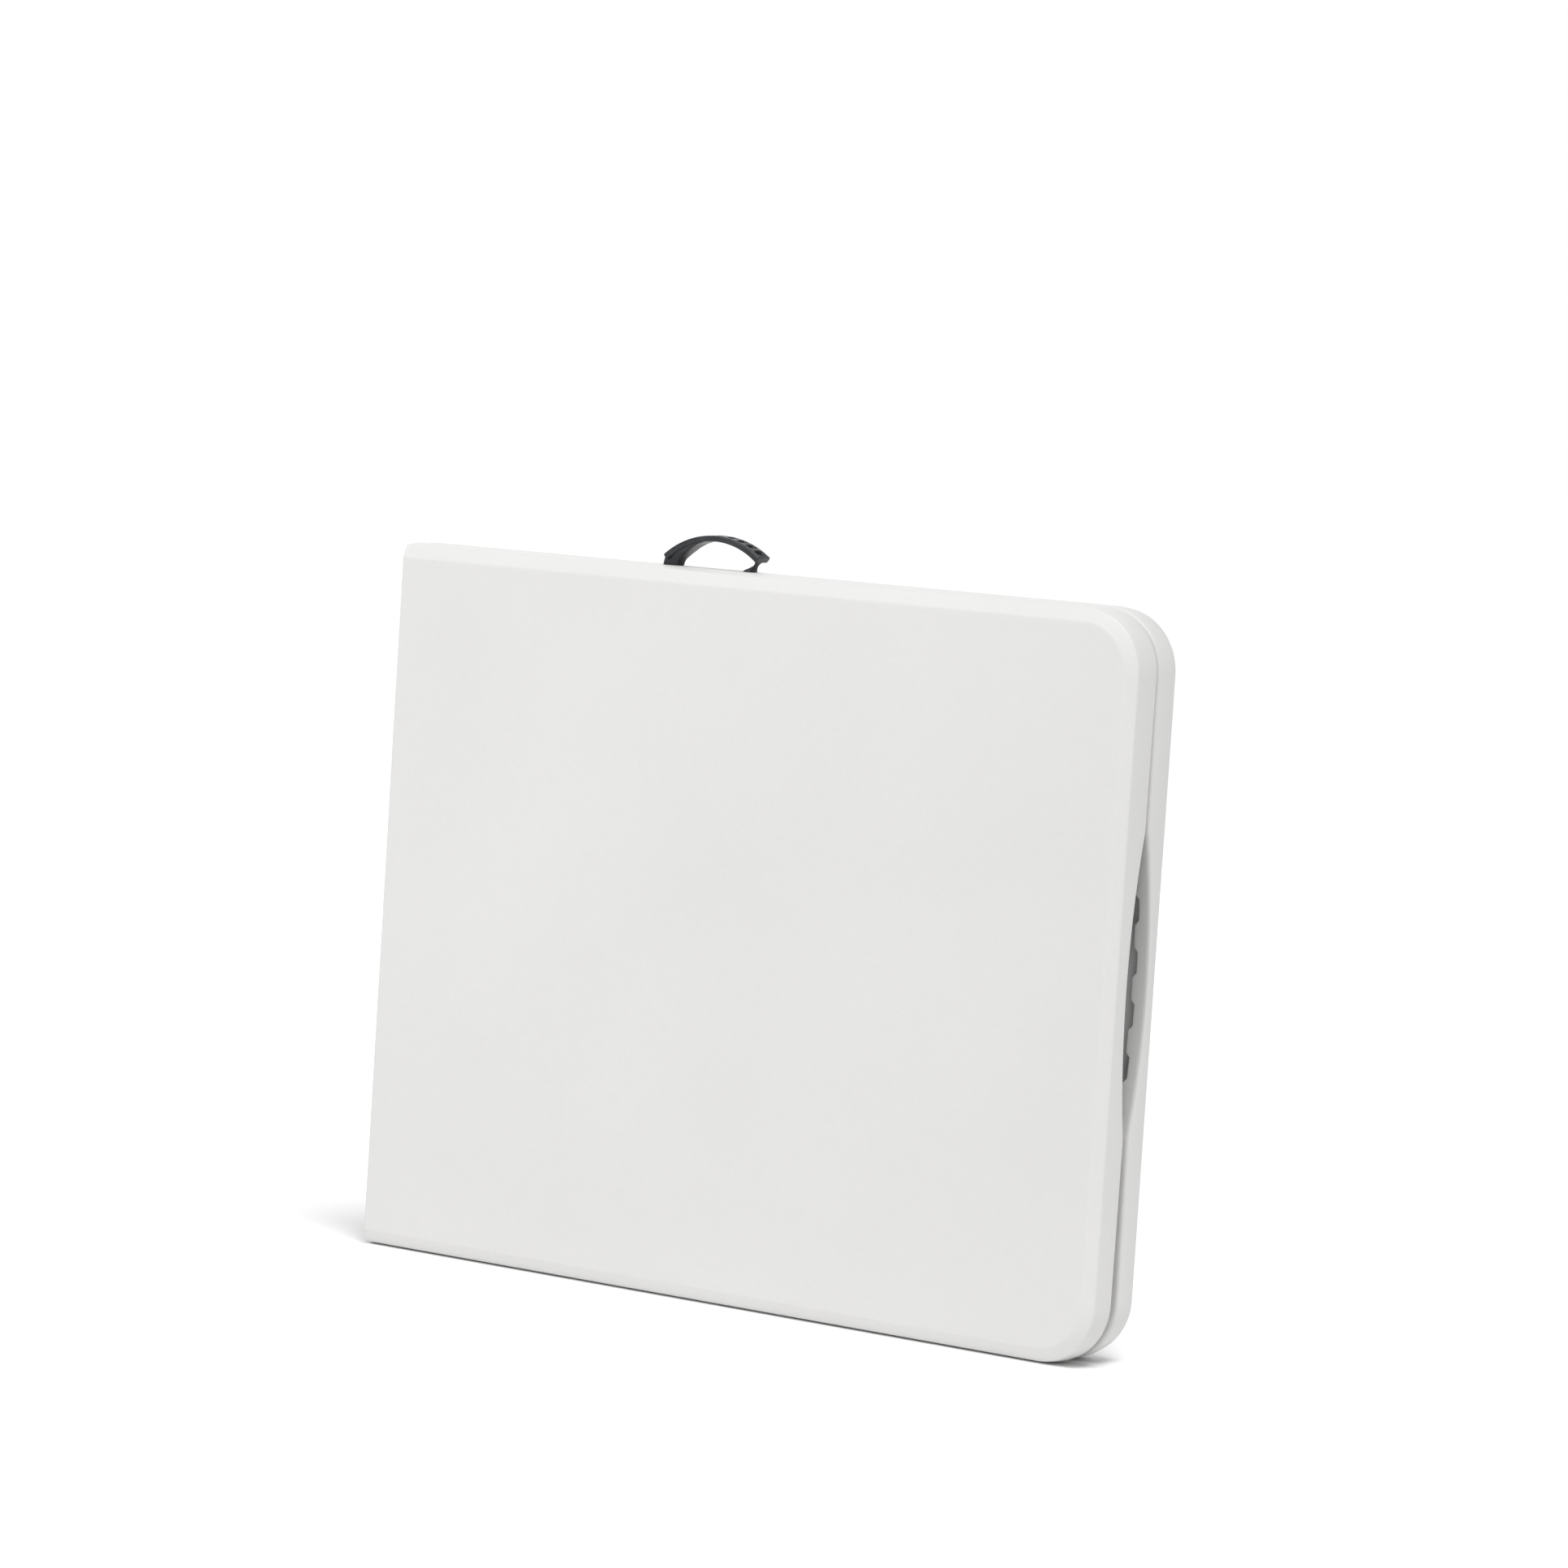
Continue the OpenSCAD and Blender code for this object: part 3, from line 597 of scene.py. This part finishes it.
def buildHandle():
    h = handleLook
    verts, faces = [], []
    low, high = math.radians(h["from"]), math.radians(h["to"])
    stations = int((high - low) * h["radius"] / h["stationStep"])
    rows = h["rowsAcross"]
    half = h["width"] / 2
    er = h["edgeRound"]
    rings = []
    for i in range(stations + 1):
        t = i / stations
        a = low + (high - low) * t
        along = a * h["radius"]
        thick = h["thin"] + (h["thick"] - h["thin"]) * abs(2 * t - 1) ** h["thickPower"]
        near = min(t, 1 - t) * stations * h["stationStep"]
        pinch = h["pinch"] * (1 - ease(near / h["pinchOver"]))
        wide = half - pinch * 0.8

        def edgeArc(sideways, first, level):
            # a quarter round from one face of the band to the next
            for k in range(1, 5):
                b = math.radians(first - 90 * k / 5)
                section.append((sideways * (wide - er) + er * math.cos(b), level + er * math.sin(b)))

        section = []
        for k in range(rows + 1):
            y = -wide + er + (2 * wide - 2 * er) * k / rows
            pocket = h["pocketDepth"] * pocketMask(along, y) if near > h["pocketEndClear"] else 0
            section.append((y, -h["crown"] * (y / half) ** 2 - pocket - pinch))
        edgeArc(1, 90, -er - 0.4 - pinch)
        section.append((wide, -er - 0.6 - pinch))
        section.append((wide, -thick + er + pinch))
        edgeArc(1, 0, -thick + er + pinch)
        for k in range(rows + 1):
            y = wide - er - (2 * wide - 2 * er) * k / rows
            wave = 0.5 + 0.5 * math.cos(2 * math.pi * (along - h["pocketFirst"]) / h["pocketPitch"])
            inner = ease((wide - er - h["grooveInset"] - abs(y)) / 1.6)
            reach = ease((h["grooveReach"] - abs(along)) / 3)
            section.append((y, -thick + h["grooveDepth"] * inner * ease(wave * 1.6 - 0.3) * reach + pinch))
        edgeArc(-1, 270, -thick + er + pinch)
        section.append((-wide, -thick + er + pinch))
        section.append((-wide, -er - 0.6 - pinch))
        edgeArc(-1, 180, -er - 0.4 - pinch)
        ring = []
        for y, r in section:
            radius = h["radius"] + r
            ring.append((h["centreU"] + h["shift"] + radius * math.sin(a), h["centreV"] + y,
                         halfWidth + h["rise"] - h["radius"] + radius * math.cos(a)))
        rings.append(ring)
    loft(rings, faces, verts)

    def stack(sections):
        rings = []
        for x0, x1, depth, z in sections:
            radius = min(1.4, (x1 - x0) / 2.3, depth / 2.3)
            rings.append([(h["centreU"] + (x0 + x1) / 2 + p, h["centreV"] + q, halfWidth + z)
                          for p, q in roundedSection((x1 - x0) / 2, depth, radius)])
        loft(rings, faces, verts)

    stack(h["longFoot"])
    stack(h["neckFoot"])
    for centre in h["strapAt"]:
        for part in (h["strap"], h["strapHead"]):
            stack([(centre - length, centre + length, depth, z) for length, depth, z in part])
    return makeObject("carryHandle", toRow(verts, 1), faces, h["sharp"])


handle = buildHandle()
finishPiece(handle, "handle", "black_plastic", "carry_handle")
print("handle built")


def addSocket(tree, name, kind, default=None):
    socket = tree.interface.new_socket(name=name, in_out="INPUT", socket_type=kind)
    if default is not None:
        socket.default_value = default
    return socket.identifier


def scatterTree():
    # puts one part at every vertex, turned the same way with a small seeded twist
    tree = bpy.data.node_groups.new("partsOnPoints", "GeometryNodeTree")
    tree.interface.new_socket(name="Geometry", in_out="INPUT", socket_type="NodeSocketGeometry")
    ids = {
        "Part": addSocket(tree, "Part", "NodeSocketObject"),
        "Facing": addSocket(tree, "Facing", "NodeSocketVector", (0, 0, 0)),
        "Size": addSocket(tree, "Size", "NodeSocketFloat", 1.0),
        "Twist": addSocket(tree, "Twist", "NodeSocketFloat", 3.14),
        "Seed": addSocket(tree, "Seed", "NodeSocketInt", 7),
        "Finish": addSocket(tree, "Finish", "NodeSocketMaterial"),
    }
    tree.interface.new_socket(name="Geometry", in_out="OUTPUT", socket_type="NodeSocketGeometry")
    nodes, links = tree.nodes, tree.links
    start, end = nodes.new("NodeGroupInput"), nodes.new("NodeGroupOutput")
    info = nodes.new("GeometryNodeObjectInfo")
    place = nodes.new("GeometryNodeInstanceOnPoints")
    twist = nodes.new("FunctionNodeRandomValue")
    spin = nodes.new("GeometryNodeRotateInstances")
    spinAxis = nodes.new("ShaderNodeCombineXYZ")
    real = nodes.new("GeometryNodeRealizeInstances")
    paint = nodes.new("GeometryNodeSetMaterial")
    links.new(start.outputs["Part"], info.inputs["Object"])
    links.new(start.outputs["Geometry"], place.inputs["Points"])
    links.new(info.outputs["Geometry"], place.inputs["Instance"])
    links.new(start.outputs["Facing"], place.inputs["Rotation"])
    links.new(start.outputs["Size"], place.inputs["Scale"])
    links.new(start.outputs["Twist"], twist.inputs[3])
    links.new(start.outputs["Seed"], twist.inputs["Seed"])
    links.new(twist.outputs[1], spinAxis.inputs["Z"])
    links.new(place.outputs["Instances"], spin.inputs["Instances"])
    links.new(spinAxis.outputs["Vector"], spin.inputs["Rotation"])
    links.new(spin.outputs["Instances"], real.inputs["Geometry"])
    links.new(real.outputs["Geometry"], paint.inputs["Geometry"])
    links.new(start.outputs["Finish"], paint.inputs["Material"])
    links.new(paint.outputs["Geometry"], end.inputs["Geometry"])
    return tree, ids


scatter, scatterIds = scatterTree()
hardwareSharp = 35.0          # degrees between faces that show as an edge


def latheMesh(name, profile, steps):
    # profile is (radius, height) from the axis at the bottom to the axis at the top, in millimetres
    verts, faces = [], []
    turns = [2 * math.pi * k / steps for k in range(steps)]
    rings = [[(r * mm * math.cos(a), r * mm * math.sin(a), z * mm) for a in turns] for r, z in profile]
    loft(rings, faces, verts)
    return makeObject(name, verts, faces, hardwareSharp)


def crossRecess(obj, arm, wide, deep, top):
    # presses a cross-shaped driver recess into a screw head
    for turn in (0, 90):
        cutter = bpy.data.meshes.new("cut")
        cut = bmesh.new()
        bmesh.ops.create_cube(cut, size=1.0, matrix=Matrix.Rotation(math.radians(turn), 4, "Z")
                              @ Matrix.Translation((0, 0, top * mm))
                              @ Matrix.Diagonal((arm * mm, wide * mm, deep * 2 * mm, 1)))
        cut.to_mesh(cutter)
        cut.free()
        tool = bpy.data.objects.new("cut", cutter)
        bpy.context.scene.collection.objects.link(tool)
        mod = obj.modifiers.new("recess", "BOOLEAN")
        mod.operation = "DIFFERENCE"
        mod.object = tool
        freeze(obj)
        bpy.data.objects.remove(tool)


def placeParts(name, part, points, facing, body, nodes=(), twist=3.14, slotName="zinc_steel"):
    base = bpy.data.meshes.new(name + "Points")
    base.from_pydata([tuple(p) for p in points], [], [])
    obj = bpy.data.objects.new(name, base)
    bpy.context.scene.collection.objects.link(obj)
    mod = obj.modifiers.new("scatter", "NODES")
    mod.node_group = scatter
    mod[scatterIds["Part"]] = part
    mod[scatterIds["Facing"]] = facing
    mod[scatterIds["Size"]] = 1.0
    mod[scatterIds["Twist"]] = twist
    mod[scatterIds["Seed"]] = 7
    mod[scatterIds["Finish"]] = finishes[slotName]
    bpy.context.view_layer.update()
    smoothShade(freeze(obj), hardwareSharp)
    finishPiece(obj, body, slotName, *nodes)


railScrew = {
    "first": 75.5, "last": 826.0, "count": 4, "across": 330.0, "seat": 25.0,
    "profile": [(0.01, -3.0), (1.9, -3.0), (1.9, 0.0), (4.3, 0.0), (4.5, 0.25), (4.4, 1.1), (3.7, 1.9),
                (2.4, 2.35), (0.9, 2.5), (0.01, 2.5)],
    "recess": {"arm": 4.6, "wide": 1.0, "deep": 1.3, "top": 2.5},
}
hingeRivet = {
    "along": (42.0, 78.0), "level": 13.0, "across": {"rear": 316.8, "front": 343.2},
    "profile": [(0.01, -0.2), (3.6, -0.2), (3.7, 0.2), (3.3, 1.1), (2.2, 1.7), (1.0, 1.95), (0.01, 2.0)],
}
screwPart = latheMesh("screwPart", railScrew["profile"], 24)
crossRecess(screwPart, **railScrew["recess"])
rivetPart = latheMesh("rivetPart", hingeRivet["profile"], 20)

for half, side in (("rear", 1), ("front", -1)):
    body = half + "_half"
    step = (railScrew["last"] - railScrew["first"]) / (railScrew["count"] - 1)
    spots = [(railScrew["first"] + i * step, railScrew["seat"], s * railScrew["across"])
             for s in (1, -1) for i in range(railScrew["count"])]
    facing = (math.radians(90 * side), 0, 0)
    placeParts(half + "RailScrews", screwPart, toRow(spots, side), facing, body, [half + "_rail_screws"])
    for s, word in ((1, "Upper"), (-1, "Lower")):
        towards = -s if half == "rear" else s
        spots = [(u, hingeRivet["level"], s * hingeRivet["across"][half]) for u in hingeRivet["along"]]
        facing = (0 if towards > 0 else math.pi, 0, 0)
        placeParts(half + "HingeRivets" + word, rivetPart, toRow(spots, side), facing, body, twist=0.0)
for part in (screwPart, rivetPart):
    bpy.data.objects.remove(part)
print("screws and rivets placed")


def ribTree():
    # a ring of ribs around the Z axis, joined to the base shape
    tree = bpy.data.node_groups.new("ribsRoundBase", "GeometryNodeTree")
    tree.interface.new_socket(name="Geometry", in_out="INPUT", socket_type="NodeSocketGeometry")
    ids = {
        "Count": addSocket(tree, "Count", "NodeSocketInt", 18),
        "Ring Radius": addSocket(tree, "Ring Radius", "NodeSocketFloat", 0.01),
        "Ring Height": addSocket(tree, "Ring Height", "NodeSocketFloat", 0.0),
        "Rib Radius": addSocket(tree, "Rib Radius", "NodeSocketFloat", 0.001),
        "Rib Length": addSocket(tree, "Rib Length", "NodeSocketFloat", 0.008),
        "Finish": addSocket(tree, "Finish", "NodeSocketMaterial"),
    }
    tree.interface.new_socket(name="Geometry", in_out="OUTPUT", socket_type="NodeSocketGeometry")
    nodes, links = tree.nodes, tree.links
    start, end = nodes.new("NodeGroupInput"), nodes.new("NodeGroupOutput")
    ring = nodes.new("GeometryNodeMeshCircle")
    rib = nodes.new("GeometryNodeMeshCylinder")
    rib.inputs["Vertices"].default_value = 8
    place = nodes.new("GeometryNodeInstanceOnPoints")
    lift = nodes.new("ShaderNodeCombineXYZ")
    move = nodes.new("GeometryNodeTransform")
    join = nodes.new("GeometryNodeJoinGeometry")
    real = nodes.new("GeometryNodeRealizeInstances")
    paint = nodes.new("GeometryNodeSetMaterial")
    links.new(start.outputs["Count"], ring.inputs["Vertices"])
    links.new(start.outputs["Ring Radius"], ring.inputs["Radius"])
    links.new(start.outputs["Rib Radius"], rib.inputs["Radius"])
    links.new(start.outputs["Rib Length"], rib.inputs["Depth"])
    links.new(start.outputs["Ring Height"], lift.inputs["Z"])
    links.new(ring.outputs["Mesh"], place.inputs["Points"])
    links.new(rib.outputs["Mesh"], place.inputs["Instance"])
    links.new(place.outputs["Instances"], move.inputs["Geometry"])
    links.new(lift.outputs["Vector"], move.inputs["Translation"])
    links.new(start.outputs["Geometry"], join.inputs["Geometry"])
    links.new(move.outputs["Geometry"], join.inputs["Geometry"])
    links.new(join.outputs["Geometry"], real.inputs["Geometry"])
    links.new(real.outputs["Geometry"], paint.inputs["Geometry"])
    links.new(start.outputs["Finish"], paint.inputs["Material"])
    links.new(paint.outputs["Geometry"], end.inputs["Geometry"])
    return tree, ids


ribs, ribIds = ribTree()


def ribbedPart(name, look, slotName, placement, body, nodes):
    obj = latheMesh(name, look["profile"], look["steps"])
    mod = obj.modifiers.new("ribs", "NODES")
    mod.node_group = ribs
    for key, value in look["ribs"].items():
        mod[ribIds[key]] = value
    mod[ribIds["Finish"]] = finishes[slotName]
    bpy.context.view_layer.update()
    made = freeze(obj)
    made.transform(placement)
    smoothShade(made, hardwareSharp)
    finishPiece(obj, body, slotName, *nodes)


knobLook = {
    "profile": [(0.01, -0.2), (8.6, -0.2), (9.6, 0.5), (9.8, 1.6), (9.8, 8.0), (9.2, 9.2), (7.6, 9.8),
                (6.6, 9.7), (6.0, 9.0), (4.2, 8.7), (0.01, 8.6)],
    "stem": [(0.01, -4.6), (2.8, -4.6), (2.8, 0.3), (0.01, 0.3)],
    "tall": 10.0, "steps": 44, "stemSteps": 20,
    "ribs": {"Count": 22, "Ring Radius": 9.7 * mm, "Ring Height": 4.8 * mm,
             "Rib Radius": 1.2 * mm, "Rib Length": 7.4 * mm},
}
footLook = {
    "profile": [(0.01, 0.0), (10.2, 0.0), (11.4, 0.9), (11.9, 2.6), (11.9, 5.0), (11.2, 6.0), (11.2, 22.0),
                (11.7, 23.0), (11.8, 28.6), (11.2, 29.2), (10.35, 29.4), (10.35, 18.0), (0.01, 18.0)],
    "steps": 40,
    "ribs": {"Count": 20, "Ring Radius": 10.9 * mm, "Ring Height": 14.0 * mm,
             "Rib Radius": 0.95 * mm, "Rib Length": 15.0 * mm},
}

for half, side in (("rear", 1), ("front", -1)):
    for word, s in (("upper", 1), ("lower", -1)):
        outward = s * side
        body = f"{half}_height_knob_{word}"
        low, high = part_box(f"{half}_knob_{word}")
        seat = (high[2] - knobLook["tall"] * mm) if outward > 0 else (low[2] + knobLook["tall"] * mm)
        turn = Matrix.Identity(4) if outward > 0 else Matrix.Rotation(math.pi, 4, "X")
        placement = Matrix.Translation(((low[0] + high[0]) / 2, (low[1] + high[1]) / 2, seat)) @ turn
        ribbedPart(f"{half}HeightKnob{word.title()}", knobLook, "black_plastic", placement, body,
                   [f"{half}_knob_{word}"])
        stem = latheMesh(f"{half}KnobStem{word.title()}", knobLook["stem"], knobLook["stemSteps"])
        stem.data.transform(placement)
        finishPiece(stem, body, "zinc_steel")
        low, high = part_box(f"{half}_foot_{word}")
        placement = Matrix.Translation((low[0], (low[1] + high[1]) / 2, (low[2] + high[2]) / 2))
        placement = placement @ Matrix.Rotation(math.radians(90), 4, "Y")
        ribbedPart(f"{half}Foot{word.title()}", footLook, "rubber", placement, f"{half}_extension_{word}",
                   [f"{half}_foot_{word}"])
print("knobs and feet built")

slotOf = {entry["node"]: entry["material_slot"] for entry in frame["record"]["subparts"]}
replacedNodes = {"rear_panel", "front_panel", "carry_handle", "rear_rail_screws", "front_rail_screws"}
for name, node in frame["nodes"].items():
    if name in replacedNodes or "_knob_" in name or "_foot_" in name:
        continue
    finish = finishes[slotOf[name]]
    if not node.material_slots:
        node.data.materials.append(finish)
    for place in node.material_slots:
        place.material = finish
print("frame repainted")

studio = {
    "floor": (0.95, 0.95, 0.95), "floorHalf": 40.0,
    "ambient": 0.48, "backdrop": 1.0,       # what lights the table, and what the camera sees behind it
    "sun": 2.15, "sunSpread": 26.0, "sunFrom": (0.52, -0.36, 1.55),
    "keyFrom": (-1.0, -3.7, 2.6), "keyPower": 50.0, "keySize": 1.6,
    "fillFrom": (-3.0, 4.2, 2.6), "fillPower": 30.0, "fillSize": 3.0,
    "aim": (0, 0, 0.4),
}


def flatMaterial(name, colour):
    mat, tree, shader, coord = newMaterial(name)
    drift = noiseNode(tree, coord, 1.5, 2.0)
    tone = rampNode(tree, drift.outputs["Fac"], [(0.0, tuple(c * 0.995 for c in colour)), (1.0, colour)])
    tree.links.new(tone.outputs["Color"], shader.inputs["Base Color"])
    shader.inputs["Roughness"].default_value = 0.9
    return mat


s = studio["floorHalf"]
floorMesh = bpy.data.meshes.new("paleFloor")
floorMesh.from_pydata([(-s, -s, 0), (s, -s, 0), (s, s, 0), (-s, s, 0)], [], [(0, 1, 2, 3)])
floor = bpy.data.objects.new("paleFloor", floorMesh)
bpy.context.scene.collection.objects.link(floor)
floorMesh.materials.append(flatMaterial("paleFloorPaint", studio["floor"]))

world = bpy.data.worlds.new("softStudio")
world.use_nodes = True
worldTree = world.node_tree
dim = worldTree.nodes["Background"]
dim.inputs["Color"].default_value = (1, 1, 1, 1)
dim.inputs["Strength"].default_value = studio["ambient"]
bright = worldTree.nodes.new("ShaderNodeBackground")
bright.inputs["Color"].default_value = (1, 1, 1, 1)
bright.inputs["Strength"].default_value = studio["backdrop"]
path = worldTree.nodes.new("ShaderNodeLightPath")
choose = worldTree.nodes.new("ShaderNodeMixShader")
worldTree.links.new(path.outputs["Is Camera Ray"], choose.inputs["Fac"])
worldTree.links.new(dim.outputs["Background"], choose.inputs[1])
worldTree.links.new(bright.outputs["Background"], choose.inputs[2])
worldTree.links.new(choose.outputs["Shader"], worldTree.nodes["World Output"].inputs["Surface"])
bpy.context.scene.world = world


def areaLight(name, place, power, size):
    data = bpy.data.lights.new(name, "AREA")
    data.energy = power
    data.size = size
    obj = bpy.data.objects.new(name, data)
    obj.location = place
    obj.rotation_euler = (Vector(studio["aim"]) - Vector(place)).to_track_quat("-Z", "Y").to_euler()
    bpy.context.scene.collection.objects.link(obj)


areaLight("keyLight", studio["keyFrom"], studio["keyPower"], studio["keySize"])
areaLight("fillLight", studio["fillFrom"], studio["fillPower"], studio["fillSize"])
sunData = bpy.data.lights.new("softSun", "SUN")
sunData.energy = studio["sun"]
sunData.angle = math.radians(studio["sunSpread"])
sun = bpy.data.objects.new("softSun", sunData)
sun.rotation_euler = (-Vector(studio["sunFrom"])).to_track_quat("-Z", "Y").to_euler()
bpy.context.scene.collection.objects.link(sun)

view = {
    "place": (3.2445, -4.8771, 1.0124), "turn": (33.43, -4.57, -3.675),      # degrees of yaw, pitch and roll
    "lens": 130.1, "sensor": 36.0, "clipEnd": 60.0,
}
yaw, pitch, roll = (math.radians(a) for a in view["turn"])
turned = Matrix.Rotation(yaw, 3, "Z") @ Matrix.Rotation(pitch, 3, "X") @ Matrix.Rotation(roll, 3, "Y")
right, forward, up = turned.col[0], turned.col[1], turned.col[2]
placed = Matrix((right, up, -forward)).transposed().to_4x4()
placed.translation = Vector(view["place"])
cameraData = bpy.data.cameras.new("productCamera")
cameraData.lens = view["lens"]
cameraData.sensor_width = view["sensor"]
cameraData.clip_end = view["clipEnd"]
camera = bpy.data.objects.new("productCamera", cameraData)
camera.matrix_world = placed
bpy.context.scene.collection.objects.link(camera)
bpy.context.scene.camera = camera
bpy.context.scene.view_settings.view_transform = "Standard"
print("floor, light and camera set")
